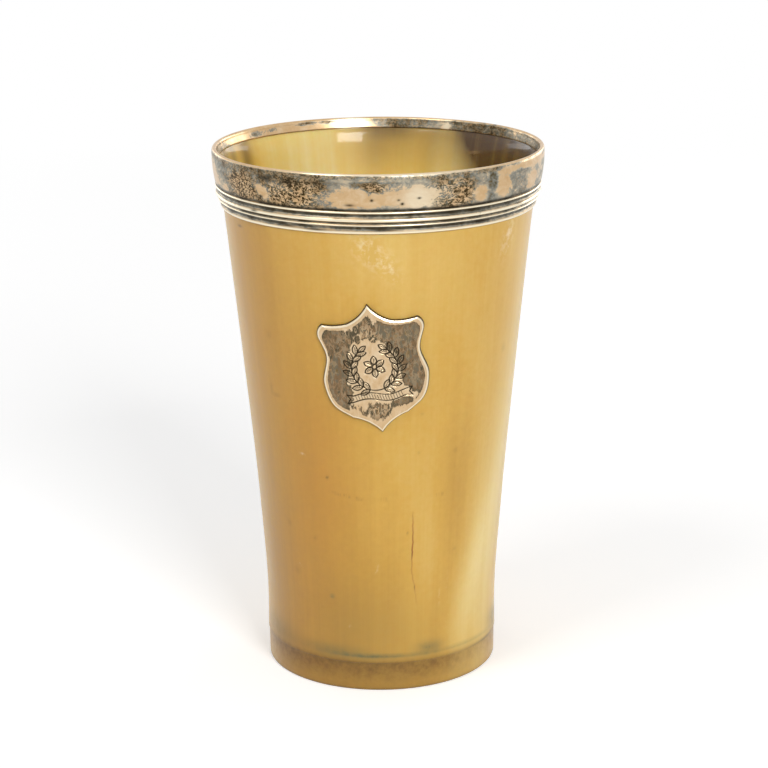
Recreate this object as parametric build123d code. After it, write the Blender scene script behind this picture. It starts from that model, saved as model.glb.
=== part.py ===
from build123d import *
import os
from math import atan2, degrees

# Horn drinking cup with a silver collar round its mouth and a silver shield on its front.
# Millimetres, +Z up, origin in the middle of the foot, shield towards -Y.

# Horn wall: outside radii, and the heights that they are taken at
cup_height = 127.0
foot_radius = 27.85
foot_taper = 0.1
foot_height = 7.0
foot_edge_round = 0.4
heel_step = 0.17
waist_radius = 28.05
waist_height = 14.0
flank_radius = 29.6
flank_height = 40.0
breast_radius = 32.9
breast_height = 76.0
neck_radius = 36.65
seat_flare = 1.12
rim_flare = 0.7

# Horn wall: thickness, thinner towards the mouth
foot_wall = 3.0
neck_wall = 1.45
rim_wall = 0.75

# Horn bottom: a disc that is sprung into a groove inside the foot
disc_recess = 4.3
disc_thickness = 3.4
groove_depth = 1.2
groove_bevel = 0.7

# Silver collar: rounded lip with an inside flange, plain band, reeded moulding
fit_clearance = 0.05
lip_crown = 0.85
lip_straight = 0.55
lip_gauge = 0.25
flange_depth = 2.6
band_height = 6.7
band_gauge = 0.6
band_bulge = 0.2
moulding_inset = 0.12
hem_gauge = 0.12

# Members of the moulding: how high each one is, and how far it swells or is hollowed
solder_groove_height = 0.36
solder_groove_depth = 0.2
fine_reed_height = 0.6
fine_reed_swell = 0.22
upper_cove_height = 0.96
upper_cove_depth = 0.3
main_reed_height = 1.0
main_reed_swell = 0.38
reed_groove_height = 0.48
reed_groove_depth = 0.2
lower_reed_height = 0.46
lower_reed_swell = 0.2
lower_cove_height = 0.96
lower_cove_depth = 0.2
hem_height = 0.98
hem_swell = 0.25

# Silver shield, its place on the wall, and the pins on its back
shield_width = 24.4
shield_length = 31.2
shield_thickness = 0.9
shield_centre_height = 81.5
shield_azimuth = -1.8
shield_turn = 6.2
pin_radius = 0.7
pin_head_radius = 1.3
pin_head_height = 0.5
pin_spread = 15.0
upper_pin_rise = 7.5
lower_pin_drop = 9.5

# Heights that follow from the sizes above, from the lip down
moulding_members = (
    (solder_groove_height, -solder_groove_depth),
    (fine_reed_height, fine_reed_swell),
    (upper_cove_height, -upper_cove_depth),
    (main_reed_height, main_reed_swell),
    (reed_groove_height, -reed_groove_depth),
    (lower_reed_height, lower_reed_swell),
    (lower_cove_height, -lower_cove_depth),
    (hem_height, hem_swell),
)
band_top = cup_height - lip_crown - lip_straight
rim_top = band_top - fit_clearance
flange_bottom = cup_height - flange_depth
moulding_top = band_top - band_height
moulding_height = sum(height for height, swell in moulding_members)
collar_bottom = moulding_top - moulding_height
disc_top = disc_recess + disc_thickness

# Radii that follow from the sizes above, from the foot up
foot_top_radius = foot_radius + foot_taper
heel_radius = foot_top_radius + heel_step
bore_radius = heel_radius - foot_wall
seat_radius = neck_radius + seat_flare
rim_radius = seat_radius + rim_flare
rim_bore_radius = rim_radius - rim_wall
lip_outer_radius = rim_radius + fit_clearance + band_gauge
lip_inner_radius = rim_bore_radius - fit_clearance - lip_gauge


def turned(*edges):
    """Turn a closed cross-section, drawn as radius and height, about the cup's axis."""
    return revolve(Plane.XZ * make_face(edges), Axis.Z)


def outer_flank(shift=0):
    """The outside of the horn, from the heel to the collar, moved outward by shift."""
    return Spline(
        (heel_radius + shift, foot_height),
        (waist_radius + shift, waist_height),
        (flank_radius + shift, flank_height),
        (breast_radius + shift, breast_height),
        (neck_radius + shift, collar_bottom),
    )


def inner_flank(shift=0):
    """The inside of the horn, from the bottom disc to the collar, moved outward by shift."""
    thinning = (foot_wall - neck_wall) / (collar_bottom - disc_top)
    flank_wall = foot_wall - thinning * (flank_height - disc_top)
    breast_wall = foot_wall - thinning * (breast_height - disc_top)
    return Spline(
        (bore_radius + shift, disc_top + fit_clearance),
        (flank_radius - flank_wall + shift, flank_height),
        (breast_radius - breast_wall + shift, breast_height),
        (neck_radius - neck_wall + shift, collar_bottom),
    )


def layer(inside, outside):
    """The turned layer between two curves that both run up the flank."""
    return turned(inside, outside, Line(inside @ 0, outside @ 0), Line(inside @ 1, outside @ 1))


def make_horn_wall():
    """The tapered body: foot, flank, seat for the collar, and a groove for the bottom."""
    outside = outer_flank()
    inside = inner_flank()
    groove_radius = bore_radius + groove_depth
    groove_top = disc_top + fit_clearance
    groove_bottom = disc_recess - fit_clearance
    foot_edge = Polyline((foot_radius - foot_edge_round, 0), (bore_radius, 0))
    return turned(
        RadiusArc(foot_edge @ 0, (foot_radius, foot_edge_round), -foot_edge_round),
        Polyline((foot_radius, foot_edge_round), (foot_top_radius, foot_height), outside @ 0),
        outside,
        Polyline(
            outside @ 1,
            (seat_radius, moulding_top),
            (rim_radius, rim_top),
            (rim_bore_radius, rim_top),
            (rim_bore_radius, flange_bottom),
            inside @ 1,
        ),
        inside,
        Polyline(
            inside @ 0,
            (groove_radius, groove_top - groove_bevel),
            (groove_radius, groove_bottom + groove_bevel),
            (bore_radius, groove_bottom),
            (bore_radius, 0),
        ),
        foot_edge,
    )


def make_base_disc():
    """The bottom: a flat disc whose bevelled edge fills the groove."""
    edge_radius = bore_radius + groove_depth - fit_clearance
    face_radius = bore_radius - fit_clearance
    return turned(
        Polyline(
            (0, disc_recess),
            (face_radius, disc_recess),
            (edge_radius, disc_recess + groove_bevel),
            (edge_radius, disc_top - groove_bevel),
            (face_radius, disc_top),
            (0, disc_top),
            close=True,
        )
    )


def make_lip_ring():
    """The rounded lip over the horn's edge, with a flange that turns down inside."""
    crown_foot = band_top + lip_straight
    flange_radius = lip_inner_radius + lip_gauge
    flange_turn = flange_bottom + lip_gauge / 2
    return turned(
        Line((lip_outer_radius, band_top), (lip_outer_radius, crown_foot)),
        SagittaArc((lip_outer_radius, crown_foot), (lip_inner_radius, crown_foot), -lip_crown),
        Line((lip_inner_radius, crown_foot), (lip_inner_radius, flange_turn)),
        SagittaArc((lip_inner_radius, flange_turn), (flange_radius, flange_turn), -lip_gauge / 2),
        Polyline((flange_radius, flange_turn), (flange_radius, band_top), (lip_outer_radius, band_top)),
    )


def make_collar_band():
    """The plain strip round the mouth, a little full in the middle of its height."""
    seat = seat_radius + fit_clearance
    mouth = rim_radius + fit_clearance
    return turned(
        SagittaArc((mouth + band_gauge, band_top), (seat + band_gauge, moulding_top), band_bulge),
        Polyline(
            (seat + band_gauge, moulding_top),
            (seat, moulding_top),
            (mouth, band_top),
            (mouth + band_gauge, band_top),
        ),
    )


def make_reeded_moulding():
    """The drawn strip of reeds and coves, which curves in to a thin hem on the horn."""
    top_radius = seat_radius + fit_clearance + band_gauge - moulding_inset
    hem_radius = neck_radius + fit_clearance + hem_gauge
    section = []
    corner = (top_radius, moulding_top)
    for height, swell in moulding_members:
        below = corner[1] - height
        share = (moulding_top - below) / moulding_height
        next_corner = (top_radius + (hem_radius - top_radius) * share**2, below)
        section.append(SagittaArc(corner, next_corner, swell))
        corner = next_corner
    back = Polyline(
        corner,
        (neck_radius + fit_clearance, collar_bottom),
        (seat_radius + fit_clearance, moulding_top),
        (top_radius, moulding_top),
    )
    return turned(*section, back)


def shield_seat():
    """Where the middle of the shield lies: X across it, Y up it, Z out of the wall."""
    rise = neck_radius - breast_radius
    run = collar_bottom - breast_height
    radius = breast_radius + rise * (shield_centre_height - breast_height) / run
    tilt = 90 + degrees(atan2(rise, run))
    place = Rot(0, 0, shield_azimuth) * Pos(0, -radius, shield_centre_height)
    return place * Rot(tilt, 0, 0) * Rot(0, 0, shield_turn)


def shield_outline():
    """The flat outline: pointed top and bottom, square shoulders, waist and full belly."""

    def corner(across, along):
        return (across * shield_width / 2, along * shield_length / 2)

    top = corner(0, 1)
    dip = corner(0.43, 0.72)
    shoulder = corner(0.9, 0.715)
    ear = corner(1, 0.53)
    flare = corner(0.525, -0.735)
    point = corner(0, -1)
    right = (
        ThreePointArc(top, corner(0.185, 0.83), dip),
        ThreePointArc(dip, corner(0.665, 0.7), shoulder),
        ThreePointArc(shoulder, corner(0.985, 0.635), ear),
        Spline(ear, corner(0.885, 0.25), corner(0.99, -0.19), corner(0.85, -0.545), flare),
        ThreePointArc(flare, corner(0.23, -0.83), point),
    )
    left = [edge.mirror(Plane.YZ) for edge in right]
    return make_face([*right, *left])


def make_shield_plate():
    """The plate, sawn to its outline and curved to the wall."""
    back = outer_flank(fit_clearance)
    front = outer_flank(fit_clearance + shield_thickness)
    blank = extrude(shield_outline(), shield_width / 2, both=True)
    return layer(back, front) & shield_seat() * blank


def pin_rods(radius):
    """Three straight rods square to the shield, where its pins go through the wall."""
    places = (
        (-pin_spread / 2, upper_pin_rise),
        (pin_spread / 2, upper_pin_rise),
        (0, -lower_pin_drop),
    )
    reach = Cylinder(radius, shield_width)
    return [shield_seat() * Pos(across, along, 0) * reach for across, along in places]


def make_shield_pins():
    """Pins from the back of the shield through the wall, peened over heads inside."""
    head_back = inner_flank(-fit_clearance - pin_head_height)
    through_wall = layer(head_back, outer_flank(fit_clearance))
    against_wall = layer(head_back, inner_flank(-fit_clearance))
    pins = []
    for shank, head in zip(pin_rods(pin_radius), pin_rods(pin_head_radius)):
        pins.append((shank & through_wall) + (head & against_wall))
    return pins


horn_wall = make_horn_wall()
for hole in pin_rods(pin_radius + fit_clearance):
    horn_wall -= hole

pieces = {
    "horn_wall": horn_wall,
    "base_disc": make_base_disc(),
    "collar_band": make_collar_band(),
    "lip_ring": make_lip_ring(),
    "reeded_moulding": make_reeded_moulding(),
    "shield_plate": make_shield_plate(),
    "shield_pins": Compound(children=make_shield_pins()),
}
os.makedirs("parts", exist_ok=True)
for name, piece in pieces.items():
    export_step(piece, f"parts/{name}.step")
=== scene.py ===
import bpy
import numpy as np
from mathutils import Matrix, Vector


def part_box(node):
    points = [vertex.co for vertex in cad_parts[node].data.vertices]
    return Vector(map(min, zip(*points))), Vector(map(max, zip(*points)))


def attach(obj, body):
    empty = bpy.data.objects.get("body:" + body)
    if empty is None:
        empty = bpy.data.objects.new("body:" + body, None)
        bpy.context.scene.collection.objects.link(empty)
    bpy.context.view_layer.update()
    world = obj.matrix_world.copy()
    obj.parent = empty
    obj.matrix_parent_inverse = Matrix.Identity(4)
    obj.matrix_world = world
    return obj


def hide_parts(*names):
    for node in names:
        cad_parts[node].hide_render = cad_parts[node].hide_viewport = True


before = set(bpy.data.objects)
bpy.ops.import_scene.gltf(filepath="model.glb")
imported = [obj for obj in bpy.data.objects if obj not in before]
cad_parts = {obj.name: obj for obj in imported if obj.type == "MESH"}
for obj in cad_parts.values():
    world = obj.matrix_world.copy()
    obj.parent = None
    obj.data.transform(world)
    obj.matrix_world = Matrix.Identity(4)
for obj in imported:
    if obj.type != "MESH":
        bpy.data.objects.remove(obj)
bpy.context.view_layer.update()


# Horn wall: one tapered length of cow horn, softened in hot oil, pressed over a mandrel and turned.
# Below the heel the foot is turned in by a hair. The horn's fibres run up the wall, and a dry
# crack has opened along them at the front.

MM = 0.001


def box_of(node):
    """Lowest and highest corner of a CAD node, in mm."""
    low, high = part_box(node)
    return np.array(low) / MM, np.array(high) / MM


_, wall_high = box_of("horn_wall")
moulding_low, moulding_high = box_of("reeded_moulding")
rim_radius, rim_top = wall_high[0], wall_high[2]
collar_bottom, moulding_top = moulding_low[2], moulding_high[2]
foot_radius, foot_top_radius, foot_height = 27.85, 27.95, 7.0
foot_edge_round, heel_round, heel_ease = 0.4, 0.12, 0.036
seat_radius, rim_bore_radius, rim_lean, flange_bottom = 37.77, 37.72, 0.3, 124.4
bore_radius, groove_radius, groove_bevel = 25.12, 26.32, 0.7
groove_bottom, groove_top = 4.25, 7.75
outside_heights = np.array([foot_height, 14.0, 40.0, 76.0, collar_bottom])
outside_radii = np.array([28.12, 28.05, 29.6, 32.9, 36.65])
inside_heights = np.array([groove_top, 40.0, 76.0, collar_bottom])
inside_radii = np.array([bore_radius, 27.08, 30.9, 35.2])
mouth_heights = np.array([collar_bottom, 117.5, 121.6, 123.2, flange_bottom])
mouth_radii = np.array([inside_radii[-1], 35.95, 36.72, 37.16, rim_bore_radius])
out_of_round = 0.07

# The crack's course as degrees from the front and height, and what it has opened to
crack_course = np.array([
    (14.5, 45.6), (14.7, 38.2), (14.4, 34.1), (14.4, 30.0), (15.9, 26.2), (17.2, 21.4)])
crack_width, crack_depth = 0.34, 0.05


def curve_through(stations, values, at):
    """The value at each place, on a smooth curve through a few stations."""
    slopes = np.gradient(values, stations)
    k = np.clip(np.searchsorted(stations, at) - 1, 0, len(stations) - 2)
    span = stations[k + 1] - stations[k]
    t = (at - stations[k]) / span
    start = values[k] * (1 + 2 * t) * (1 - t) ** 2 + slopes[k] * span * t * (1 - t) ** 2
    end = values[k + 1] * t ** 2 * (3 - 2 * t) + slopes[k + 1] * span * t ** 2 * (t - 1)
    return start + end


def section_of(*runs):
    """One cross-section from runs of (radius, height) points."""
    return np.concatenate([np.atleast_2d(run) for run in runs])


def spread(section, turns):
    """Radius, height and turn of every point of a section that is turned about the axis."""
    radius, height = (np.repeat(section[:, k:k + 1], len(turns), axis=1) for k in (0, 1))
    return radius, height, np.repeat(turns[None, :], len(section), axis=0)


def mesh_piece(name, points, faces, sharp_degrees=35):
    """A smooth-shaded object from points in mm, with its creases kept sharp."""
    mesh = bpy.data.meshes.new(name)
    mesh.from_pydata((points * MM).tolist(), [], faces)
    mesh.shade_smooth()
    mesh.set_sharp_from_angle(angle=np.radians(sharp_degrees))
    piece = bpy.data.objects.new(name, mesh)
    bpy.context.collection.objects.link(piece)
    return piece


def lathe(name, radius, height, turns, hollow=True):
    """Turn a section about the axis. Turns are degrees from the front, to the right. A hollow ring
    has a closed section; the section of a solid piece starts and ends beside the axis."""
    rows, columns = radius.shape
    angle = np.radians(turns)
    points = np.stack([radius * np.sin(angle), -radius * np.cos(angle), height], axis=-1)
    row_count = rows if hollow else rows - 1
    row, column = np.meshgrid(np.arange(row_count), np.arange(columns), indexing="ij")
    above, beside = (row + 1) % rows, (column + 1) % columns
    corners = [(row, column), (row, beside), (above, beside), (above, column)]
    faces = np.stack([a * columns + b for a, b in corners], axis=-1).reshape(-1, 4).tolist()
    if not hollow:
        faces += [list(range(columns))[::-1], list(range((rows - 1) * columns, rows * columns))]
    return mesh_piece(name, points.reshape(-1, 3), faces)


def paint(piece, **layers):
    """Store numbers per point on the mesh, for a material to read by name."""
    for name, values in layers.items():
        layer = piece.data.attributes.new(name, "FLOAT", "POINT")
        layer.data.foreach_set("value", np.clip(values, 0, 1).astype(np.float32).ravel())


def ovals(turn, height, *spots):
    """The sum of soft ovals on the wall. Each spot has its strength, its middle as degrees and
    height, its half sizes, and for a leaning one the degrees that it leans for each mm of height."""
    total = np.zeros_like(turn)
    for strength, middle_turn, middle_height, half_turn, half_height, *lean in spots:
        up = height - middle_height
        away = (turn - middle_turn - (lean[0] if lean else 0) * up + 180) % 360 - 180
        total += strength * np.exp(-(away / half_turn) ** 2 - (up / half_height) ** 2)
    return total


def ring_line(height, middle_height, half_height):
    """A soft line round the cup."""
    return np.exp(-((height - middle_height) / half_height) ** 2)


# Heights of the rows of points, from the foot up and then down the inside. The rows of the foot and
# of the flank stop just short of the corner that follows.
foot_stop, flank_stop, flank_step, inside_step = 0.05, 0.2, 0.5, 1.5
edge_turn = np.linspace(0, np.pi / 2, 6)
foot_rows = np.linspace(foot_edge_round, foot_height - foot_stop, 18)[1:]
flank_rows = np.arange(foot_height + 2 * heel_round, collar_bottom - flank_stop, flank_step)
mouth_rows = np.linspace(flange_bottom, collar_bottom, 24)[:-1]
inside_rows = np.arange(collar_bottom, groove_top, -inside_step)
wall_section = section_of(
    np.column_stack([
        foot_radius - foot_edge_round * (1 - np.sin(edge_turn)),
        foot_edge_round * (1 - np.cos(edge_turn))]),
    np.column_stack([
        np.interp(foot_rows, [0, foot_height], [foot_radius, foot_top_radius]), foot_rows]),
    (outside_radii[0] - heel_round, foot_height),
    (outside_radii[0] - heel_ease, foot_height + heel_ease),
    (outside_radii[0], foot_height + heel_round),
    np.column_stack([curve_through(outside_heights, outside_radii, flank_rows), flank_rows]),
    (outside_radii[-1], collar_bottom),
    (seat_radius, moulding_top),
    (rim_radius, rim_top),
    (rim_bore_radius + rim_lean, rim_top),
    np.column_stack([curve_through(mouth_heights, mouth_radii, mouth_rows), mouth_rows]),
    np.column_stack([curve_through(inside_heights, inside_radii, inside_rows), inside_rows]),
    (bore_radius, groove_top),
    (groove_radius, groove_top - groove_bevel),
    (groove_radius, groove_bottom + groove_bevel),
    (bore_radius, groove_bottom),
    (bore_radius, 0.0),
)
# Columns of points stand closer together beside the crack
wall_step, crack_step, crack_reach = 0.6, 0.08, 2.4
crack_turn = np.mean(crack_course[:, 0])
wall_turns = np.unique(np.round(np.concatenate([
    np.arange(-180, 180, wall_step),
    np.arange(crack_turn - crack_reach, crack_turn + crack_reach, crack_step)]), 3))
radius, height, turn = spread(wall_section, wall_turns)
rim_row = int(np.argmax(wall_section[:, 0]))
outside = np.repeat((np.arange(len(wall_section)) < rim_row)[:, None], len(wall_turns), axis=1)
# The wall is a hair out of round, except near the collar and the foot
collar_hold, foot_hold = 6, 12
free_of_mounts = np.clip((collar_bottom - height) / collar_hold, 0, 1)
free_of_mounts = free_of_mounts * np.clip(height / foot_hold, 0, 1)
ripple = np.sin(np.radians(2 * turn + 40)) + 0.6 * np.sin(np.radians(3 * turn) + height / 17)
radius = radius + out_of_round * ripple * free_of_mounts

# The crack tapers to both ends and wanders a little, and its upper half holds the most dirt
crack_top, crack_foot = crack_course[0, 1], crack_course[-1, 1]
along_crack = np.clip((crack_top - height) / (crack_top - crack_foot), 0, 1)
opening = (4 * along_crack * (1 - along_crack)) ** 0.5 * outside
crack_at = np.interp(height, crack_course[::-1, 1], crack_course[::-1, 0])
wander = 0.05 * np.sin(height * 2.3) + 0.03 * np.sin(height * 5.1 + 1)
from_crack = np.radians(turn - crack_at) * radius + wander
crack = np.exp(-(from_crack / (crack_width / 2)) ** 2) * opening
rust = crack * np.interp(height, [21, 33, 35, 46], [0.35, 0.4, 1.0, 0.7])
radius = radius - crack_depth * crack
wall = lathe("horn_wall_turned", radius, height, wall_turns)

# Where the horn is paler or browner, and where scuffs, stains and small marks lie on it. The pale
# patches down both side edges are painted sheen, and the leaning one low at the right is paler horn
# with painted light glowing through it.
pale = ovals(
    turn, height,
    (0.75, 50, 26, 10, 24, 0.5), (0.35, 62, 20, 8, 30, 0.3), (0.5, 80, 62, 26, 60),
    (0.28, 12, 110, 56, 22), (0.2, 20, 40, 9, 30), (0.3, -86, 80, 14, 80),
    (0.5, 152, 84, 12, 34, 0.25), (0.45, -146, 44, 13, 30, -0.3), (0.4, -172, 22, 9, 26),
    (0.3, 118, 28, 8, 22))
brown = ovals(
    turn, height,
    (0.45, -48, 22, 30, 30), (0.26, -36, 56, 16, 26), (0.26, -58, 84, 24, 50), (0.3, 36, 46, 8, 18),
    (0.9, 125, 90, 20, 60), (0.4, -112, 100, 16, 50), (0.3, 0, 14, 40, 20),
    (0.6, 176, 52, 14, 40, 0.2), (0.6, -164, 98, 18, 26), (0.4, -124, 24, 12, 24))
amber = ovals(
    turn, height, (0.4, -27, 56, 16, 24), (0.3, -60, 92, 26, 44), (0.25, -46, 24, 22, 26))
chalk = ovals(
    turn, height,
    (0.6, -3.0, 109, 4.6, 3.4, -0.6), (0.4, 4.0, 105, 3.0, 2.6, -0.6), (0.5, 55, 109, 3.0, 3.8, 0.4),
    (0.6, -35.2, 58.6, 1.4, 0.3), (0.6, -42.4, 29.7, 1.0, 0.3), (0.26, -2, 31, 0.5, 1.4, 0.5),
    (0.26, -15.5, 15.9, 0.5, 0.4), (0.35, 28.8, 22.6, 0.4, 1.4), (0.3, 33, 26, 0.4, 1.6))
# A scratch from the lathe runs part of the way round, and climbs at its left end
scratch_height = 49.0 - 0.1 * (turn + 10) * (turn < -8)
turning_line = ring_line(height, scratch_height, 0.28) * ovals(
    turn, height, (0.9, -15, 49, 6, 4), (0.8, 2.2, 49, 2, 4), (0.6, 27, 49, 3, 4))
small_pits = ovals(
    turn, height,
    (0.7, -23.7, 53.7, 0.6, 0.35), (0.6, -61, 111.3, 1.6, 0.3), (0.5, 12.2, 40.1, 0.4, 0.3),
    (0.35, 14.4, 34.6, 0.25, 1.0), (0.45, 15.9, 26.1, 0.3, 0.5), (0.18, 34, 59.5, 1.0, 0.6),
    (0.12, -47, 40, 1.4, 0.8), (0.12, -44, 28, 2.0, 1.0), (0.16, 16.5, 60.2, 0.7, 0.4),
    (0.16, 36.5, 34.3, 1.0, 0.4), (0.2, -31.8, 37.7, 0.6, 0.4), (0.12, -49, 86.7, 1.6, 1.0),
    (0.2, -47.6, 72.0, 2.4, 0.4), (0.14, -50.5, 73.4, 0.9, 1.4), (0.14, 59.5, 81.6, 1.6, 1.0),
    (0.16, 17.5, 69.7, 0.9, 0.4))
# Green-grey stain along the edge of the bottom, a painted shadow line under the heel's step, and a
# brown foot
foot_line = ring_line(height, 8.8, 0.55) * ovals(
    turn, height, (0.8, -4, 8.8, 20, 4), (0.35, 44, 8, 30, 4))
stain = foot_line + ovals(
    turn, height,
    (0.6, 24, 10.2, 7, 1.6), (0.3, -66, 10.5, 14, 3.0), (0.4, -24, 9.6, 16, 1.4),
    (0.7, 80, 10.5, 12, 3), (0.7, -24.1, 23.4, 1.1, 0.5), (0.2, -2, 14, 32, 12))
heel_line = ring_line(height, foot_height, 0.3) * ovals(
    turn, height, (0.6, 68, 7, 18, 3), (0.25, -20, 7, 60, 3))
# A dark line along the very bottom edge
worn_edge = 0.5 * ring_line(height, 0, 0.5)
foot_shade = np.interp(height, [2.0, 5.6], [0.5, 0.88]) * np.interp(height, [6.6, 8.4], [1, 0])
foot_shade = foot_shade * (1 - ovals(turn, height, (0.5, 58, 3, 24, 9), (0.4, -78, 3, 20, 9)))
foot_shade = foot_shade + ovals(turn, height, (0.3, -62, 9.5, 20, 3.4), (0.25, -34, 9, 20, 2))
# The inside has painted shade, darkest at the right and in a band just under the lip's flange, over
# browner horn; it also has some dark streaks and paler patches
clouded = ovals(
    turn, height,
    (2.6, 113, 118, 26, 26, 1.3), (0.8, -99, 119, 6, 12), (0.7, -119, 120, 4, 9),
    (0.5, -109, 120, 3, 9), (0.6, 176, 124.6, 14, 3.0), (0.3, 176, 120, 18, 6),
    (0.15, 160, 121, 4, 12), (0.14, -178, 119, 5, 8))
honey = ovals(
    turn, height, (0.9, -148, 118, 20, 14), (0.7, 146, 117, 14, 10), (0.4, 178, 113, 40, 3))
# The pale patches also hold painted sheen and glow, the inside clouding holds painted shade, and the
# dark marks hold a painted shadow line under the heel
paint(
    wall, pale=np.where(outside, pale, honey), brown=brown * outside, amber=amber * outside,
    chalk=chalk * outside, scratch=turning_line * outside, stain=stain * outside,
    pits=(small_pits + heel_line + worn_edge) * outside, rust=rust, foot=foot_shade * outside,
    clouded=clouded * ~outside)


def linear(hex_colour):
    """The linear colour, with alpha, of an sRGB hex value."""
    channels = [int(hex_colour[k:k + 2], 16) / 255 for k in (1, 3, 5)]
    return (*(c / 12.92 if c <= 0.04045 else ((c + 0.055) / 1.055) ** 2.4 for c in channels), 1.0)


def add(tree, kind, inputs=None, stops=None, **settings):
    """Add one shader node with its settings, and link or set each input that is given."""
    node = tree.nodes.new("ShaderNode" + kind)
    for setting, value in settings.items():
        setattr(node, setting, value)
    for key, value in (inputs or {}).items():
        socket = node.inputs[key] if isinstance(key, int) else next(
            s for s in node.inputs if s.name == key and s.enabled)
        if isinstance(value, bpy.types.Node):
            value = next(s for s in value.outputs if s.enabled)
        if isinstance(value, bpy.types.NodeSocket):
            tree.links.new(value, socket)
        else:
            socket.default_value = value
    for k, (position, colour) in enumerate(stops or ()):
        elements = node.color_ramp.elements
        element = elements[k] if k < 2 else elements.new(position)
        element.position, element.color = position, linear(colour)
    return node


def new_material(name):
    """An empty node material and its tree."""
    material = bpy.data.materials.new(name)
    material.use_nodes = True
    material.node_tree.nodes.clear()
    return material, material.node_tree


def polished_horn(name, shades, streak_gain, cloud_tint, coat, coat_roughness, flat=False):
    """Cow horn, turned and polished: a waxy gloss over honey colours that the light sinks into."""
    material, tree = new_material(name)
    place = add(tree, "TexCoord").outputs["Object"]

    # The fibres keep their turn as the wall tapers, so they are drawn on a drum of one radius. In a
    # flat plate they run across it. Real ones are about 0.1 mm wide, and are drawn coarser to show.
    fibre_stretch, drum = 0.03, 33 * MM
    if flat:
        fibre = add(tree, "VectorMath", {0: place, 1: (fibre_stretch, 1, 1)}, operation="MULTIPLY")
    else:
        level = add(tree, "VectorMath", {0: place, 1: (1, 1, 0)}, operation="MULTIPLY")
        spoke = add(tree, "VectorMath", {0: level}, operation="NORMALIZE")
        rise = add(tree, "VectorMath", {0: place, 1: (0, 0, fibre_stretch)}, operation="MULTIPLY")
        fibre = add(tree, "VectorMath", {0: spoke, 1: (drum,) * 3, 2: rise}, operation="MULTIPLY_ADD")
    squat = add(tree, "VectorMath", {0: place, 1: (1, 1, 0.4)}, operation="MULTIPLY")
    cloud_size, streak_width, fibre_width, scuff_size = 30 * MM, 3.0 * MM, 0.6 * MM, 1.6 * MM
    clouds = add(tree, "TexNoise", {"Vector": squat, "Scale": 1 / cloud_size, "Detail": 3.0})
    streaks = add(tree, "TexNoise", {"Vector": fibre, "Scale": 1 / streak_width, "Detail": 4.0})
    fibres = add(tree, "TexNoise", {"Vector": fibre, "Scale": 1 / fibre_width, "Detail": 2.0})
    scuffs = add(tree, "TexNoise", {
        "Vector": place, "Scale": 1 / scuff_size, "Detail": 5.0, "Roughness": 0.65})

    # Clouds, streaks and painted patches shift the tone along the ramp of horn colours
    lowest_tone, cloud_gain, fibre_gain, scuff_gain = 0.35, 0.3, 0.045, 0.1
    tone = add(tree, "Math", {
        0: clouds.outputs[0], 1: cloud_gain, 2: lowest_tone}, operation="MULTIPLY_ADD")
    for source, gain in ((streaks, streak_gain), (fibres, fibre_gain), (scuffs, scuff_gain)):
        swing = add(tree, "Math", {0: source.outputs[0], 1: 0.5}, operation="SUBTRACT")
        tone = add(tree, "Math", {0: swing, 1: gain, 2: tone}, operation="MULTIPLY_ADD")
    # The pale patches lighten the tone; some of them are painted sheen and painted light
    for attribute, gain in (("pale", 0.3), ("brown", -0.26)):
        patch = add(tree, "Attribute", attribute_name=attribute).outputs["Fac"]
        tone = add(tree, "Math", {0: patch, 1: gain, 2: tone}, operation="MULTIPLY_ADD")
    colour = add(tree, "ValToRGB", {"Fac": tone}, stops=shades)

    # Brown foot, inner clouding with painted shade, scuffs, stains, marks and a painted shadow line
    # under the heel lie over it. A pattern breaks each one up: where it goes from low to high, the
    # mark goes from its least to its most.
    smooth = (streaks, 0.3, 0.7, 0.86, 1.1)
    mottled = (scuffs, 0.3, 0.7, 0.7, 1.15)
    blotched = (scuffs, 0.35, 0.65, 0.8, 1.15)
    patchy = (scuffs, 0.46, 0.62, 0.0, 0.9)
    scratchy = (fibres, 0.44, 0.6, 0.0, 0.8)
    for attribute, tint, (pattern, low, high, least, most) in (
            ("amber", "#C98A34", smooth), ("foot", "#7A540F", blotched),
            ("stain", "#6C6840", mottled), ("clouded", cloud_tint, smooth),
            ("chalk", "#F4EACB", patchy), ("scratch", "#6E4516", scratchy),
            ("rust", "#965018", smooth), ("pits", "#34260F", smooth)):
        broken = add(tree, "MapRange", {
            "Value": pattern.outputs[0], "From Min": low, "From Max": high,
            "To Min": least, "To Max": most})
        mark = add(tree, "Attribute", attribute_name=attribute).outputs["Fac"]
        share = add(tree, "Math", {0: mark, 1: broken}, operation="MULTIPLY", use_clamp=True)
        colour = add(tree, "Mix", {"Factor": share, "A": colour, "B": linear(tint)}, data_type="RGBA")

    fibre_height = 0.03 * MM
    dull = add(tree, "MapRange", {
        "Value": scuffs.outputs[0], "From Min": 0.3, "From Max": 0.7, "To Min": 0.33, "To Max": 0.44})
    grain = add(tree, "Bump", {
        "Height": fibres.outputs[0], "Strength": 0.2, "Distance": fibre_height})
    shader = add(tree, "BsdfPrincipled", {
        "Base Color": colour, "Roughness": dull, "IOR": 1.54, "Specular IOR Level": 0.26,
        "Normal": grain, "Subsurface Weight": 0.3, "Subsurface Radius": (1.0, 0.45, 0.14),
        "Subsurface Scale": 2.5 * MM,
        "Coat Weight": coat, "Coat Roughness": coat_roughness, "Coat Normal": grain})
    add(tree, "OutputMaterial", {"Surface": shader})
    return material


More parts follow.
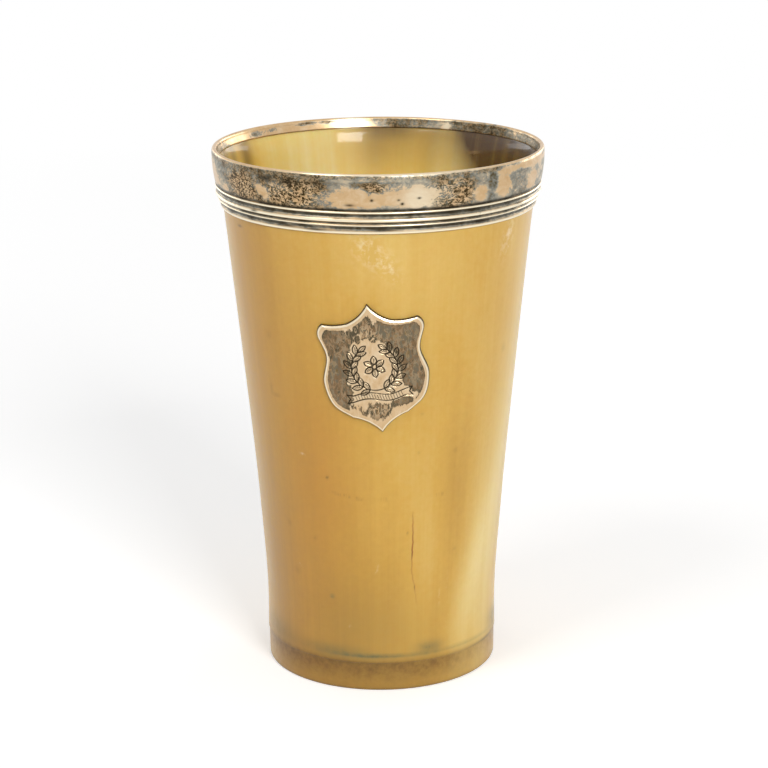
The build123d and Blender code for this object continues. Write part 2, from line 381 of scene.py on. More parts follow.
outside_horn = polished_horn("polished_horn_outside", (
    (0.1, "#885E1E"), (0.3, "#AA8032"), (0.42, "#C1943A"), (0.52, "#D0A447"), (0.66, "#DDBB68"),
    (0.82, "#E9D08A"), (1.0, "#F3E2AE")),
    streak_gain=0.1, cloud_tint="#5A4222", coat=0.35, coat_roughness=0.16)
inside_horn = polished_horn("polished_horn_inside", (
    (0.1, "#A07A34"), (0.3, "#CCA044"), (0.42, "#DEB552"), (0.52, "#EAC35E"), (0.66, "#F0D076"),
    (0.82, "#F4DF9C"), (1.0, "#F7EDC8")),
    streak_gain=0.34, cloud_tint="#4E340A", coat=0.5, coat_roughness=0.07)
wall.data.materials.append(outside_horn)
wall.data.materials.append(inside_horn)
faces_inward = (np.arange(len(wall_section)) >= rim_row) & (wall_section[:, 1] > groove_bottom)
wall.data.polygons.foreach_set(
    "material_index", np.repeat(faces_inward, len(wall_turns)).astype(np.int32))
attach(wall, "root")
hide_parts("horn_wall")


# Base disc: a flat plate of browner horn, turned with a bevelled edge and sprung into a groove
# that is cut inside the foot. The tool has left fine rings on its underside.

disc_low, disc_high = box_of("base_disc")
disc_bottom, disc_top, disc_radius = disc_low[2], disc_high[2], disc_high[0]
groove_clearance, hub_radius = 0.05, 0.2
face_radius = bore_radius - groove_clearance
# Real tool rings are about 0.3 mm apart, and are drawn coarser to show
tool_pitch, tool_depth = 0.9, 0.05
under_step, under_margin, top_step, top_margin = 0.15, 0.1, 1.2, 0.8
under_radii = np.arange(hub_radius, face_radius - under_margin, under_step)
top_radii = np.arange(face_radius - top_margin, hub_radius, -top_step)
tool_rings = 0.5 + 0.5 * np.sin(2 * np.pi * under_radii / tool_pitch)
disc_section = section_of(
    np.column_stack([under_radii, disc_bottom + tool_depth * tool_rings]),
    (face_radius, disc_bottom),
    (disc_radius, disc_bottom + groove_bevel),
    (disc_radius, disc_top - groove_bevel),
    (face_radius, disc_top),
    np.column_stack([top_radii, np.full(len(top_radii), disc_top)]),
)
disc_turns = np.arange(-180, 180, 2.0)
radius, height, _ = spread(disc_section, disc_turns)
disc = lathe("base_disc_turned", radius, height, disc_turns, hollow=False)
disc_horn = polished_horn("turned_horn_bottom", (
    (0.1, "#4A3114"), (0.3, "#634519"), (0.42, "#775521"), (0.52, "#8A642B"), (0.66, "#9C7538"),
    (0.82, "#B08848"), (1.0, "#C49C5C")),
    streak_gain=0.3, cloud_tint="#3A2810", coat=0.3, coat_roughness=0.3, flat=True)
disc.data.materials.append(disc_horn)
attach(disc, "root")
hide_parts("base_disc")


# Collar band: a strip of sterling silver sheet, bent round the mouth and soldered at the back.
# Thumbs and cloths keep parts of it bright, and the rest has tarnished and flaked.

band_low, band_high = box_of("collar_band")
band_bottom, band_top = band_low[2], band_high[2]
band_gauge, band_bulge, seat_clearance = 0.6, 0.2, 0.05
seat_outside = seat_radius + seat_clearance + band_gauge
mouth_outside = rim_radius + seat_clearance + band_gauge
dent_depth = 0.05
band_rows = 44


def arc(start, end, swell, steps):
    """Points of a shallow arc between two section points that swells to the right of its way."""
    start, end = np.array(start), np.array(end)
    t = np.linspace(0, 1, steps)[:, None]
    along = end - start
    outward = np.array([along[1], -along[0]]) / np.hypot(*along)
    return start + along * t + outward * swell * 4 * t * (1 - t)


band_section = section_of(
    arc((seat_outside, band_bottom), (mouth_outside, band_top), band_bulge, band_rows),
    (mouth_outside - band_gauge, band_top),
    (seat_outside - band_gauge, band_bottom),
)
band_turns = np.arange(-180, 180, 0.3)
radius, height, turn = spread(band_section, band_turns)
on_face = (np.arange(len(band_section)) < band_rows)[:, None]
dents = ovals(
    turn, height,
    (1, -28, 122.5, 4, 1.6), (1, -9, 120.6, 3, 1.2), (1, 19, 122, 3, 1.5), (1, 41, 121.2, 5, 2),
    (1, 66, 122, 4, 2), (1, 110, 121, 5, 2), (1, -105, 123, 6, 2), (1, 168, 122, 5, 2.4))
band = lathe("collar_band_sheet", radius - dent_depth * dents * on_face, height, band_turns)


def rubbed_patches(turn, height):
    """Where hands have kept the silver of the collar bright."""
    return ovals(
        turn, height,
        (0.8, -9, 121.4, 10.5, 2.7), (0.8, 11, 121.7, 11, 2.9), (-0.5, -1, 124.2, 3.5, 1.5),
        (0.8, -42.5, 121.6, 2.6, 1.9, -1.0), (0.42, -36, 123.6, 4, 1.0), (0.62, -78, 122.2, 11, 4),
        (0.4, -64, 120, 5, 1.2), (0.85, 46.8, 122.3, 3.6, 2.8), (0.7, 36.5, 121.2, 3.4, 2.4),
        (-0.4, 41.3, 123.5, 1.6, 2.4), (0.8, 65.5, 121.4, 3.0, 1.6, 1.0), (0.6, 62, 125.6, 24, 0.8),
        (0.36, 70, 121.5, 18, 6), (0.4, -3, 125.7, 12, 0.5), (0.5, 150, 121, 30, 2.6),
        (0.55, -140, 122, 26, 2.8), (0.5, 104, 122, 10, 3), (0.4, -98, 121, 6, 3))


flaked = ovals(
    turn, height,
    (1.5, -29, 121.6, 13, 4), (1.1, -54, 121.8, 10, 4), (1.6, 25.5, 121.8, 9, 3.6),
    (1.0, 0, 124, 6, 1.5), (0.4, 57, 121.5, 6, 3.5), (0.5, 120, 121, 30, 3), (0.6, -160, 121, 40, 3))
solder_line = ring_line(height, band_bottom, 0.3) * on_face
black = ovals(
    turn, height,
    (0.85, -40, 124.7, 4, 0.9), (0.8, -31, 124.5, 3.4, 0.8), (0.4, -20, 124.7, 5, 0.6),
    (1.3, -2.1, 121.2, 0.5, 0.3), (1.0, 6.7, 121.2, 0.5, 0.22), (1.4, 7.9, 120.3, 0.55, 0.3),
    (1.2, 13.5, 121.5, 0.6, 0.22), (1.0, -43, 120.3, 0.8, 0.3), (0.9, -9.5, 120.0, 1.6, 0.3))
# A painted highlight whitens the band a little right of the front
paint(
    band, bright=rubbed_patches(turn, height) * (1 - 0.6 * solder_line), flaked=flaked,
    hollow=0.75 * solder_line + black, burnished=ovals(turn, height, (0.5, 14, 121, 7, 4)))


def old_silver(name, film_shades, stretch, edge_softness, blotch_size, tint_size):
    """Sterling silver, hand polished and then left: warm bright metal where it is rubbed, elsewhere
    a sulphide film, slate where it is thin and brown where it is thick, that has flaked in specks."""
    material, tree = new_material(name)
    place = add(tree, "TexCoord").outputs["Object"]
    drawn = add(tree, "VectorMath", {0: place, 1: stretch}, operation="MULTIPLY")
    worm_size, speck_size = 1.7 * MM, 0.8 * MM
    blotch = add(tree, "TexNoise", {
        "Vector": drawn, "Scale": 1 / blotch_size, "Detail": 8.0, "Roughness": 0.7,
        "Distortion": 0.5})
    worm = add(tree, "TexNoise", {
        "Vector": drawn, "Scale": 1 / worm_size, "Detail": 2.0, "Roughness": 0.6, "Distortion": 1.2})
    speck = add(tree, "TexNoise", {
        "Vector": drawn, "Scale": 1 / speck_size, "Detail": 3.0, "Roughness": 0.65,
        "Distortion": 0.5})
    tint = add(tree, "TexNoise", {
        "Vector": drawn, "Scale": 1 / tint_size, "Detail": 5.0, "Roughness": 0.65})

    # The painted patches decide where the silver is bright, and the blotches break their edges
    clean_from, film_range = 1.35, 0.9
    clean = add(tree, "Attribute", attribute_name="bright").outputs["Fac"]
    for source, gain in ((blotch, 1.5), (speck, 0.4)):
        clean = add(tree, "Math", {0: source.outputs[0], 1: gain, 2: clean}, operation="MULTIPLY_ADD")
    shine = add(tree, "MapRange", {
        "Value": clean, "From Min": clean_from - edge_softness,
        "From Max": clean_from + edge_softness}, interpolation_type="SMOOTHSTEP")

    # Flaked film is thick, and shows metal in specks and in thin lines like worm tracks
    flakes = add(tree, "Attribute", attribute_name="flaked").outputs["Fac"]
    from_track = add(tree, "Math", {0: worm.outputs[0], 1: 0.5}, operation="SUBTRACT")
    from_track = add(tree, "Math", {0: from_track}, operation="ABSOLUTE")
    track = add(tree, "MapRange", {
        "Value": from_track, "From Min": 0.022, "From Max": 0.032, "To Min": 1.0, "To Max": 0.0})
    grain = add(tree, "MapRange", {
        "Value": speck.outputs[0], "From Min": 0.54, "From Max": 0.565, "To Min": 0.0, "To Max": 1.0})
    specks = add(tree, "Math", {0: track, 1: grain}, operation="MAXIMUM")
    specks = add(tree, "Math", {0: specks, 1: flakes}, operation="MULTIPLY")
    shine = add(tree, "Math", {0: shine, 1: specks}, operation="MAXIMUM")
    thick = add(tree, "MapRange", {
        "Value": clean, "From Min": clean_from, "From Max": clean_from - film_range})
    thick = add(tree, "Math", {0: flakes, 1: 0.3, 2: thick}, operation="MULTIPLY_ADD")
    for source, gain in ((tint, 0.8), (speck, 0.9)):
        swing = add(tree, "Math", {0: source.outputs[0], 1: 0.5}, operation="SUBTRACT")
        thick = add(tree, "Math", {0: swing, 1: gain, 2: thick}, operation="MULTIPLY_ADD")
    film = add(tree, "ValToRGB", {"Fac": thick}, stops=film_shades)

    metal = add(tree, "ValToRGB", {"Fac": blotch.outputs[0]},
                stops=((0.35, "#C6A377"), (0.5, "#CEAE84"), (0.65, "#D6BC98")))
    colour = add(tree, "Mix", {"Factor": shine, "A": film, "B": metal}, data_type="RGBA")
    # Where this is painted the metal is mixed towards near-white: partly burnish, partly a painted
    # highlight
    burnished = add(tree, "Attribute", attribute_name="burnished").outputs["Fac"]
    polish = add(tree, "Math", {0: burnished, 1: shine}, operation="MULTIPLY")
    colour = add(tree, "Mix", {
        "Factor": polish, "A": colour, "B": linear("#F6EED4")}, data_type="RGBA")
    # Hollows and scattered pits keep their black
    pits = add(tree, "MapRange", {
        "Value": speck.outputs[0], "From Min": 0.29, "From Max": 0.25, "To Min": 0.0, "To Max": 0.9})
    hollow = add(tree, "Attribute", attribute_name="hollow").outputs["Fac"]
    black = add(tree, "Math", {0: hollow, 1: pits}, operation="MAXIMUM")
    colour = add(tree, "Mix", {
        "Factor": black, "A": colour, "B": linear("#332C20")}, data_type="RGBA")
    dull = add(tree, "MapRange", {"Value": shine, "To Min": 0.42, "To Max": 0.28})
    speck_height = 0.02 * MM
    relief = add(tree, "Bump", {
        "Height": speck.outputs[0], "Strength": 0.4, "Distance": speck_height})
    shader = add(tree, "BsdfPrincipled", {
        "Base Color": colour, "Metallic": 1.0, "Roughness": dull, "Normal": relief})
    add(tree, "OutputMaterial", {"Surface": shader})
    return material


collar_silver = old_silver("tarnished_silver_collar", (
    (0.0, "#BCAF96"), (0.14, "#A09988"), (0.3, "#7F8078"), (0.46, "#686454"), (0.62, "#524530"),
    (0.8, "#3E321E"), (1.0, "#2C2314")),
    stretch=(1, 1, 1.5), edge_softness=0.025, blotch_size=3.0 * MM, tint_size=4.0 * MM)
band.data.materials.append(collar_silver)
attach(band, "root")
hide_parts("collar_band")


# Lip ring: a half-round silver wire with a thin flange that turns down inside the mouth, soldered
# on top of the band. Lips and cloths keep its crown bright, and highlights are painted on its crown
# at the front and on its flange at the back.

_, lip_high = box_of("lip_ring")
lip_top = lip_high[2]
crown_inside, flange_inside, lip_gauge, lip_straight = 37.95, 37.42, 0.25, 0.55
crown_foot = band_top + lip_straight
half_width = (mouth_outside - crown_inside) / 2
crown = np.linspace(0, np.pi, 17)
flange_fold = np.linspace(0, np.pi, 7)
lip_section = section_of(
    (mouth_outside, band_top),
    np.column_stack([
        crown_inside + half_width * (1 + np.cos(crown)),
        crown_foot + (lip_top - crown_foot) * np.sin(crown)]),
    arc((crown_inside, crown_foot), (flange_inside, flange_bottom + lip_gauge / 2), 0, 6)[1:],
    np.column_stack([
        flange_inside + lip_gauge / 2 * (1 - np.cos(flange_fold[1:])),
        flange_bottom + lip_gauge / 2 * (1 - np.sin(flange_fold[1:]))]),
    (rim_bore_radius + rim_lean - seat_clearance, band_top),
)
silver_turns = np.arange(-180, 180, 0.6)
radius, height, turn = spread(lip_section, silver_turns)
wear_depth = 0.03
wear = 1 - np.sin(np.radians(5 * turn + 30)) * np.sin(np.radians(2 * turn))
worn_height = height - wear_depth * wear * (height > crown_foot)
lip = lathe("lip_ring_wire", radius, worn_height, silver_turns)
crest = np.interp(height, [crown_foot + 0.35, crown_foot + 0.65], [0, 1])
outer = radius > crown_inside + half_width
# The small bright spots near -171 and 153 degrees keep the flange clean under painted highlights
flange_bright = ovals(
    turn, height,
    (0.95, -136, 126, 36, 6), (0.7, -171, 125, 7, 3), (0.3, 158, 125, 5, 6),
    (0.5, 153, 125.2, 3, 1), (0.35, 118, 125.2, 5, 2), (0.25, 100, 126, 12, 6),
    (0.35, 40, 126, 40, 6),
    (-0.9, -128, 125.4, 5, 1.0), (-0.7, -137, 125.8, 3, 0.8), (-0.8, -151, 126.2, 5, 0.6),
    (-0.7, -160, 126.2, 3, 0.5))
outer_bright = np.maximum(0.8 * crest, rubbed_patches(turn, height))
flange_dirt = ovals(
    turn, height,
    (0.5, 130, 125.2, 22, 0.9), (0.4, 96, 125.2, 12, 0.9), (0.35, 172, 125.6, 8, 0.8))
# Painted highlights: the crown at the front and two small spots on the flange at the back are mixed
# towards white
polished = ovals(turn, height, (0.6, 6, 127, 32, 1), (0.6, -170, 125, 5, 4), (0.6, 153, 125, 2, 2))
paint(
    lip, bright=np.where(outer, outer_bright, flange_bright + 0.5 * crest), hollow=flange_dirt,
    burnished=polished, flaked=np.full_like(turn, 0.4))
lip.data.materials.append(collar_silver)
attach(lip, "root")
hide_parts("lip_ring")


# Reeded moulding: a silver strip drawn through a shaped plate into reeds and coves, bent round the
# horn under the band and soldered to it. It curves in to a thin hem that grips the horn.

hem_gauge, moulding_inset = 0.12, 0.12
hem_radius = outside_radii[-1] + seat_clearance + hem_gauge
moulding_top_radius = seat_outside - moulding_inset
moulding_height = moulding_top - collar_bottom
# Height and swell of each member from the top; a hollow swells inward
members = (
    (0.36, -0.2), (0.6, 0.22), (0.96, -0.3), (1.0, 0.38),
    (0.48, -0.2), (0.46, 0.2), (0.96, -0.2), (0.98, 0.25))
member_steps = np.linspace(0, 1, 11)
fullness = 1 - (2 * member_steps - 1) ** 2
# Dirt fills the hollows and the corners beside the reeds, and cloths have polished their crests,
# which also carry painted highlights
moulding_rows, hollow_rows, crest_rows = [], [], []
corner = (moulding_top_radius, moulding_top)
for member_height, swell in members:
    below = corner[1] - member_height
    share = (moulding_top - below) / moulding_height
    next_corner = (moulding_top_radius + (hem_radius - moulding_top_radius) * share ** 2, below)
    moulding_rows.append(arc(next_corner, corner, swell, len(member_steps))[:0:-1])
    hollow_rows.append((1.5 * fullness if swell < 0 else 0.9 * (1 - fullness) ** 2)[:-1])
    crest_rows.append((0 * fullness if swell < 0 else 1.9 * fullness - 0.9)[:-1])
    corner = next_corner
moulding_section = section_of(
    *moulding_rows, corner,
    (outside_radii[-1] + seat_clearance, collar_bottom),
    (seat_radius + seat_clearance, moulding_top))[::-1]
radius, height, turn = spread(moulding_section, silver_turns)
moulding = lathe("reeded_moulding_strip", radius, height, silver_turns)
# The dirt lies unevenly round the cup, in long stretches and in short ones
uneven = 1 + 0.15 * np.sin(np.radians(3 * turn + 50)) + 0.3 * np.sin(
    np.radians(11 * turn + 20 * height)) * np.sin(np.radians(17 * turn + 40))
# After the members come the hem's lower edge and the two corners at the back
grime = np.concatenate([*hollow_rows, [0.4, 1, 1]])[::-1, None] * uneven
polish = np.concatenate([*crest_rows, [0, 0, 0]])[::-1, None] * np.ones_like(turn)
flecks = ovals(
    turn, height,
    (0.8, -47, 116.6, 1.6, 0.3), (0.7, -33, 114.2, 3, 0.25), (0.7, -22, 113.9, 4, 0.25),
    (0.6, -14, 116.9, 2, 0.25), (0.6, 4, 114.1, 5, 0.25), (0.6, 38, 114.4, 4, 0.3),
    (0.6, 57, 116.8, 3, 0.3))
dim = ovals(turn, height, (1, 46, 116, 16, 6), (1, -60, 116, 20, 6))
paint(
    moulding, bright=0.75 - 0.6 * grime - 0.2 * dim, hollow=0.42 * grime + flecks, burnished=polish)
moulding.data.materials.append(collar_silver)
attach(moulding, "root")
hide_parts("reeded_moulding")


# Shield plate: a small pointed shield of silver sheet, sawn out, filed to a bright bevel round its
# edge and bent to the wall. A graver has cut two laurel sprays round a rosette, over a ribbon.

shield_width, shield_length, shield_thickness = 24.4, 31.2, 0.9
shield_height, shield_azimuth, shield_turn = 81.5, np.radians(-1.8), np.radians(6.2)
bevel_width, bevel_drop = 0.55, 0.22
# Real graver lines are about 0.2 mm wide, and are drawn coarser to show
engraving_depth, outline_width, rib_width = 0.14, 0.42, 0.26
edge_count, ring_count = 840, 150
half_shield = np.array([shield_width, shield_length]) / 2


def bend(start, through, end, steps=24):
    """Points of an even bend from start to end that passes through a middle point."""
    start, through, end = (np.array(p, dtype=float) for p in (start, through, end))
    t = np.linspace(0, 1, steps)[:, None]
    pull = 2 * through - (start + end) / 2
    return start * (1 - t) ** 2 + 2 * pull * t * (1 - t) + end * t ** 2


def run_along(points):
    """How far each point of a line lies from its start."""
    return np.concatenate([[0], np.cumsum(np.hypot(*np.diff(points, axis=0).T))])


side_marks = np.array([(1, 0.53), (0.885, 0.25), (0.99, -0.19), (0.85, -0.545), (0.525, -0.735)])
side_run = run_along(side_marks * half_shield)
side_steps = np.linspace(0, side_run[-1], 60)
right_edge = np.concatenate([
    bend((0, 1), (0.185, 0.83), (0.43, 0.72)),
    bend((0.43, 0.72), (0.665, 0.7), (0.9, 0.715))[1:],
    bend((0.9, 0.715), (0.985, 0.635), (1, 0.53))[1:],
    np.column_stack([curve_through(side_run, mark, side_steps) for mark in side_marks.T])[1:],
    bend((0.525, -0.735), (0.23, -0.83), (0, -1))[1:],
]) * half_shield
edge = np.concatenate([right_edge, (right_edge * (-1, 1))[-2::-1]])
edge_run = run_along(edge)
even_run = np.arange(edge_count) / edge_count * edge_run[-1]
edge = np.column_stack([np.interp(even_run, edge_run, edge[:, k]) for k in (0, 1)])
along = np.roll(edge, -1, axis=0) - np.roll(edge, 1, axis=0)
inward = np.column_stack([along[:, 1], -along[:, 0]]) / np.hypot(*along.T)[:, None]
to_middle = -edge / np.hypot(*edge.T)[:, None]
# The bevel runs towards the middle, longer where the edge lies askew to that way
least_squareness, smoothing = 0.55, range(-6, 7)
squareness = np.clip((inward * to_middle).sum(axis=1), least_squareness, 1)
squareness = sum(np.roll(squareness, k) for k in smoothing) / len(smoothing)
bevel_way = to_middle * (bevel_width / squareness)[:, None]

# Strokes of the graver, each a line of points in mm from the shield's middle, with its width
strokes = []


def pointing(degrees):
    """Unit direction on the shield, degrees from its right-hand side."""
    return np.array([np.cos(np.radians(degrees)), np.sin(np.radians(degrees))])


def leaf(root, aim, length, width):
    """Engrave a pointed leaf, growing from root towards aim in degrees, shaded on its lower half."""
    t = np.linspace(0, 1, 14)
    half = width / 2 * np.sin(np.pi * t) ** 0.85
    forward = pointing(aim)
    across = np.array([-forward[1], forward[0]])
    spine = np.array(root) + np.outer(t * length, forward)
    strokes.append((spine + np.outer(half, across), outline_width))
    strokes.append((spine - np.outer(half, across), outline_width))
    strokes.append((spine[1:11], rib_width))
    for k in (4, 6, 8):
        strokes.append((np.array([spine[k], spine[k] - 0.9 * half[k] * across]), rib_width))


# Two sprays, each with pairs of leaves along its stem and one leaf at its tip
spray_radius, spray_middle = 5.3, np.array([0.0, 0.2])
pair_stations, pair_leans, tip_aim = np.arange(-72, 46, 19.0), (-42, 38), 142
for side in (1, -1):
    stem = spray_middle + spray_radius * np.array([pointing(a) for a in np.linspace(-112, 52, 40)])
    strokes.append((stem * (side, 1), outline_width))
    for station in pair_stations:
        root = (spray_middle + spray_radius * pointing(station)) * (side, 1)
        for lean in pair_leans:
            aim = station + 90 + lean
            leaf(root, aim if side > 0 else 180 - aim, length=2.5, width=1.15)
    leaf(stem[-1] * (side, 1), tip_aim if side > 0 else 180 - tip_aim, length=2.3, width=1.05)

# A rosette of six petals round a small eye
rosette, eye_radius = np.array([0.0, 0.6]), 0.5
for petal in range(6):
    aim = 90 + 60 * petal
    leaf(rosette + eye_radius * pointing(aim), aim, length=2.1, width=1.35)
eye = rosette + eye_radius * np.array([pointing(a) for a in np.linspace(0, 360, 20)])
strokes.append((eye, outline_width))

# A waved ribbon with forked ends, shaded with short strokes
ribbon_half, ribbon_height, fork_length, fork_depth, fork_flare = 0.75, -6.7, 1.5, 0.8, 0.3
ribbon_across = np.linspace(-5.6, 6.4, 40)
ribbon = np.column_stack([ribbon_across, ribbon_height - 0.45 * np.sin(0.62 * ribbon_across)])
for way in (1, -1):
    strokes.append((ribbon + (0, way * ribbon_half), outline_width))
for end, way in ((ribbon[0], -1), (ribbon[-1], 1)):
    fork_tip = np.array([fork_length * way, ribbon_half + fork_flare])
    strokes.append((np.array([
        end + (0, ribbon_half), end + fork_tip, end + (fork_depth * way, 0), end + fork_tip * (1, -1),
        end - (0, ribbon_half)]), outline_width))
for shade in ribbon[2:-2:2]:
    strokes.append((np.array([shade + (-0.15, 0.5), shade + (0.15, -0.5)]), rib_width))

# Rings of points from the middle out to the bevel, then over the edge, down its side and round the
# back. Each point of the face is cut by the strokes that pass over it.
shares = np.linspace(1 / ring_count, 1, ring_count)
face = (shares[:, None, None] * (edge + bevel_way)).reshape(-1, 2)
stroke_reach, far_off = 1.2, 9.0
cut_share, from_stroke = np.zeros(len(face)), np.full(len(face), far_off)
for points, width in strokes:
    low, high = points.min(axis=0) - stroke_reach, points.max(axis=0) + stroke_reach
    near = np.where(np.all((face > low) & (face < high), axis=1))[0]
    start, step = points[:-1], np.diff(points, axis=0)
    away = face[near][:, None] - start
    t = np.clip((away * step).sum(axis=2) / np.maximum((step ** 2).sum(axis=1), 1e-9), 0, 1)
    gap = np.linalg.norm(away - t[..., None] * step, axis=2).min(axis=1)
    cut = np.clip(1 - gap / (width / 2), 0, 1) * width / outline_width
    cut_share[near] = np.maximum(cut_share[near], cut)
    from_stroke[near] = np.minimum(from_stroke[near], gap)
bevel_foot = shield_thickness - bevel_drop
# Each ring outside the face: its points, its height over the wall, how bright and how black it is
# On the bevel rings the brightness also drives a painted highlight; the black on the side rings is
# painted shade of the seam against the wall and of the shaded upper side, over some tarnish
rings = [
    (edge + 0.9 * bevel_way, shield_thickness - 0.1 * bevel_drop, 1, 0),
    (edge + 0.35 * bevel_way, shield_thickness - 0.75 * bevel_drop, 1, 0),
    (edge + 0.2 * bevel_way, bevel_foot, 0.3, 0.6),
    (edge, bevel_foot - 0.15, 0, 0.7),
    (edge, 0.6 * bevel_foot, 0, 0.45),
    (edge, 0, 0, 0.9),
    *((edge * share, 0, 0, 0.5) for share in np.linspace(0.9, 0.1, 9)),
]
ring_points, *ring_values = zip(*rings)
ring_lift, ring_bright, ring_black = (np.repeat(values, edge_count) for values in ring_values)
middle, middle_value = np.zeros((1, 2)), np.zeros(1)
flat = np.concatenate([middle, face, *ring_points, middle])
lift = np.concatenate([
    middle_value + shield_thickness, shield_thickness - engraving_depth * cut_share,
    ring_lift, middle_value])


def on_wall(flat, lift):
    """Points of the shield bent to the wall and lifted off it, in mm in the cup's frame."""
    (low_radius, high_radius), (low, high) = outside_radii[3:], outside_heights[3:]
    slope = (high_radius - low_radius) / (high - low)
    tilt, middle_radius = np.arctan(slope), low_radius + slope * (shield_height - low)
    across = flat[:, 0] * np.cos(shield_turn) - flat[:, 1] * np.sin(shield_turn)
    up = flat[:, 0] * np.sin(shield_turn) + flat[:, 1] * np.cos(shield_turn)
    # How far a point stands out of the plane of the seat is found in a few rounds
    out = np.zeros(len(flat))
    for _ in range(6):
        y = -middle_radius - up * np.sin(tilt) - out * np.cos(tilt)
        z = shield_height + up * np.cos(tilt) - out * np.sin(tilt)
        wanted = curve_through(outside_heights, outside_radii, z) + seat_clearance + lift
        out = out + wanted - np.hypot(across, y)
    return np.column_stack([
        across * np.cos(shield_azimuth) - y * np.sin(shield_azimuth),
        across * np.sin(shield_azimuth) + y * np.cos(shield_azimuth), z])


ring_total = ring_count + len(rings)
ring, spoke = np.meshgrid(np.arange(ring_total - 1), np.arange(edge_count), indexing="ij")
beside = (spoke + 1) % edge_count
corners = [(ring, spoke), (ring + 1, spoke), (ring + 1, beside), (ring, beside)]
faces = np.stack([1 + a * edge_count + b for a, b in corners], axis=-1).reshape(-1, 4).tolist()
last_ring = 1 + (ring_total - 1) * edge_count
for this in range(edge_count):
    following = (this + 1) % edge_count
    faces.append((0, 1 + this, 1 + following))
    faces.append((len(flat) - 1, last_ring + following, last_ring + this))
shield = mesh_piece("shield_plate_engraved", on_wall(flat, lift), faces)


def smudges(points, *spots):
    """Soft ovals on the shield: strength, middle across and along it, then half sizes, in mm."""
    return sum(
        strength * np.exp(-((points[:, 0] - u) / half_u) ** 2 - ((points[:, 1] - v) / half_v) ** 2)
        for strength, u, v, half_u, half_v in spots)


tarnish = smudges(
    face,
    (1, -8.6, 6, 3.4, 4.4), (1, -9.2, -1.5, 3.6, 6.0), (0.75, -8.0, -6.8, 2.4, 2.0),
    (1, 7.4, 7.4, 4.4, 3.4), (1, 8.6, 1.0, 3.8, 6), (0.75, 9.2, -3.8, 2.2, 2.8),
    (0.75, 5.2, -8.4, 2.2, 0.9),
    (0.52, -1.4, 10.2, 3.0, 2.8), (0.44, 2.6, 9.2, 1.8, 2.2), (0.6, -0.3, -10.1, 2.9, 2.2))
speckled = 0.2 * tarnish + smudges(face, (0.7, -1.6, 7.6, 3.6, 3.6), (0.7, -0.4, -9.8, 3.2, 2.4))
# Wiping keeps a band inside the bevel and the ridges beside the strokes bright
near_edge = np.repeat(np.interp(shares, [0.94, 0.98], [0, 1]), edge_count)
halo_width = 0.6
halo = np.exp(-(from_stroke / halo_width) ** 2)
wiped = 0.7 - 1.2 * tarnish + 0.3 * halo + near_edge
# The bevel is mixed towards white as a painted highlight, and the face a little, most beside the
# strokes
paint(
    shield,
    bright=np.concatenate([middle_value + 0.6, wiped, ring_bright, middle_value]),
    flaked=np.concatenate([middle_value, speckled, 0 * ring_lift, middle_value]),
    hollow=np.concatenate([middle_value, 1.7 * cut_share, ring_black, middle_value + 0.5]),
    burnished=np.concatenate([middle_value, 0.06 + 0.15 * halo, 0.65 * ring_bright, middle_value]))
shield_silver = old_silver("tarnished_silver_shield", (
    (0.0, "#7A6850"), (0.12, "#534C3C"), (0.28, "#645A46"), (0.44, "#84684A"), (0.6, "#6C6858"),
    (0.8, "#7E6848"), (1.0, "#4C3C28")),
    stretch=(1, 1, 0.5), edge_softness=0.03, blotch_size=1.4 * MM, tint_size=3.2 * MM)
shield.data.materials.append(shield_silver)
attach(shield, "root")
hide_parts("shield_plate")


# Shield pins: three silver wires on the back of the shield, pushed through drilled holes in the wall
# and peened over into flat heads inside.

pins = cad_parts["shield_pins"]
pins.data.materials.clear()
pins.data.materials.append(shield_silver)


# Floor: a plain white paper sheet that runs out of the picture on every side. It takes the cup's
# soft shadow, and away from the cup it goes to the white of the room.

floor_half = 6.0
sheet_corners = np.array([(-1, -1, 0), (1, -1, 0), (1, 1, 0), (-1, 1, 0)]) * floor_half / MM
floor = mesh_piece("floor_sheet", sheet_corners, [(0, 1, 2, 3)])


def seen_rays(tree):
    """1 for what the camera sees, by itself or mirrored, and 0 for light on its way."""
    rays = add(tree, "LightPath")
    seen = add(tree, "Math", {
        0: rays.outputs["Is Camera Ray"], 1: rays.outputs["Is Glossy Ray"]}, operation="MAXIMUM")
    return add(tree, "Math", {0: seen, 1: rays.outputs["Is Transmission Ray"]}, operation="MAXIMUM")


# Matt paper scatters light evenly, so only the soft shadow shows on it. What is seen of it is lifted
# towards white, and becomes plain white where the shadow ends.
white_lift, shadow_middle, shadow_near, shadow_far = 0.3, (-0.05, 0.12, 0.0), 0.25, 0.6
paper, tree = new_material("white_paper_matt")
seen = seen_rays(tree)
seen_lift = add(tree, "Math", {0: seen, 1: white_lift}, operation="MULTIPLY")
matt = add(tree, "BsdfDiffuse", {"Color": linear("#FAFAFA")})
glow = add(tree, "Emission", {"Color": linear("#FFFFFF"), "Strength": seen_lift})
near_cup = add(tree, "AddShader", {0: matt, 1: glow})
place = add(tree, "TexCoord").outputs["Object"]
from_cup = add(tree, "VectorMath", {0: place, 1: shadow_middle}, operation="DISTANCE")
far = add(tree, "MapRange", {
    "Value": from_cup.outputs["Value"], "From Min": shadow_near, "From Max": shadow_far})
white = add(tree, "Emission", {"Color": linear("#FFFFFF"), "Strength": 1.0})
far_seen = add(tree, "Math", {0: far, 1: seen}, operation="MULTIPLY")
sheet = add(tree, "MixShader", {0: far_seen, 1: near_cup, 2: white})
add(tree, "OutputMaterial", {"Surface": sheet})
floor.data.materials.append(paper)


# Studio light: a softbox at the front right, a weaker one high at the front left, the glow of a
# white backdrop on both sides behind, and a white room that fills in the rest.

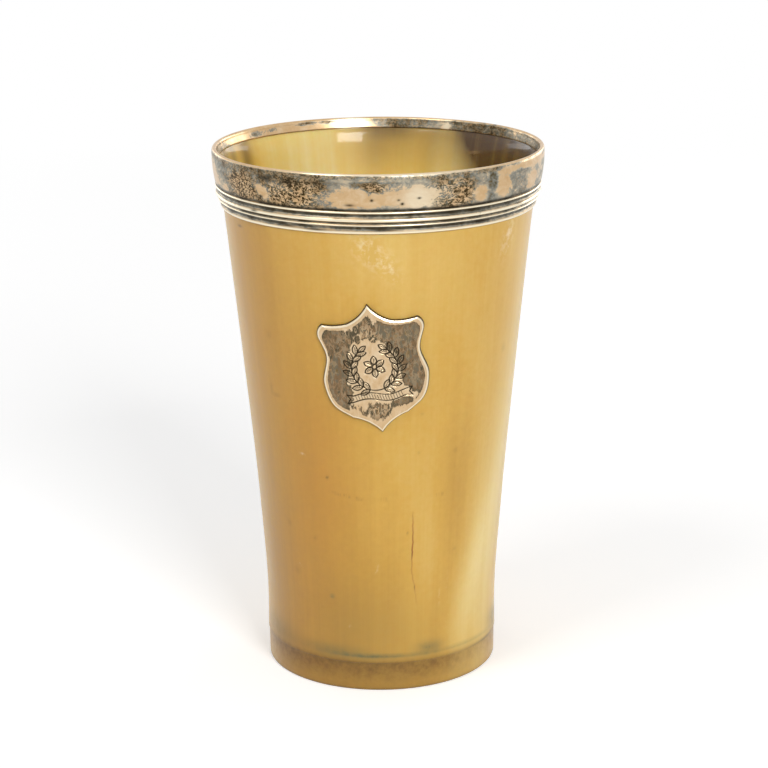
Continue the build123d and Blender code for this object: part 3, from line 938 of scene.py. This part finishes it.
def softbox(name, azimuth, elevation, distance, width, height, watts):
    """An area lamp that faces the cup; azimuth is in degrees from the front, to the right."""
    lamp = bpy.data.lights.new(name, "AREA")
    lamp.shape, lamp.size, lamp.size_y, lamp.energy = "RECTANGLE", width, height, watts
    stand = bpy.data.objects.new(name, lamp)
    side, rise = np.radians(azimuth), np.radians(elevation)
    cup_middle = 0.06
    stand.location = (
        distance * np.sin(side) * np.cos(rise), -distance * np.cos(side) * np.cos(rise),
        distance * np.sin(rise) + cup_middle)
    stand.rotation_euler = (np.radians(90 - elevation), 0, side)
    bpy.context.collection.objects.link(stand)


softbox("softbox_right", azimuth=22, elevation=28, distance=1.4, width=0.45, height=0.5, watts=9.6)
softbox("softbox_left", azimuth=-48, elevation=50, distance=1.4, width=0.5, height=0.5, watts=3.8)
softbox("backdrop_left", azimuth=-135, elevation=10, distance=0.9, width=0.6, height=0.3, watts=0.9)
softbox("backdrop_right", azimuth=135, elevation=10, distance=0.9, width=0.6, height=0.3, watts=1.6)

room_light, room_white = 0.38, 1.0
room = bpy.data.worlds.new("white_room")
room.use_nodes = True
tree = room.node_tree
tree.nodes.clear()
level = add(tree, "MapRange", {
    "Value": seen_rays(tree), "To Min": room_light, "To Max": room_white})
sky = add(tree, "Background", {"Color": linear("#FFFFFF"), "Strength": level})
add(tree, "OutputWorld", {"Surface": sky})
bpy.context.scene.world = room
bpy.context.scene.view_settings.view_transform = "Standard"


# Camera: a short telephoto a little above the cup's rim, at the photograph's angle.

view = bpy.data.cameras.new("camera")
view.sensor_width, view.lens = 36.0, 108.1
view.clip_start, view.clip_end = 0.01, 50.0
camera = bpy.data.objects.new("camera", view)
pitch_down, roll = np.radians(16.02), np.radians(-0.42)
camera.location = (0.0010, -0.537, 0.2223)
camera.rotation_mode = "QUATERNION"
level_up = np.pi / 2 - pitch_down
camera.rotation_quaternion = (
    np.cos(level_up / 2) * np.cos(roll / 2), np.sin(level_up / 2) * np.cos(roll / 2),
    -np.sin(level_up / 2) * np.sin(roll / 2), np.cos(level_up / 2) * np.sin(roll / 2))
bpy.context.collection.objects.link(camera)
bpy.context.scene.camera = camera
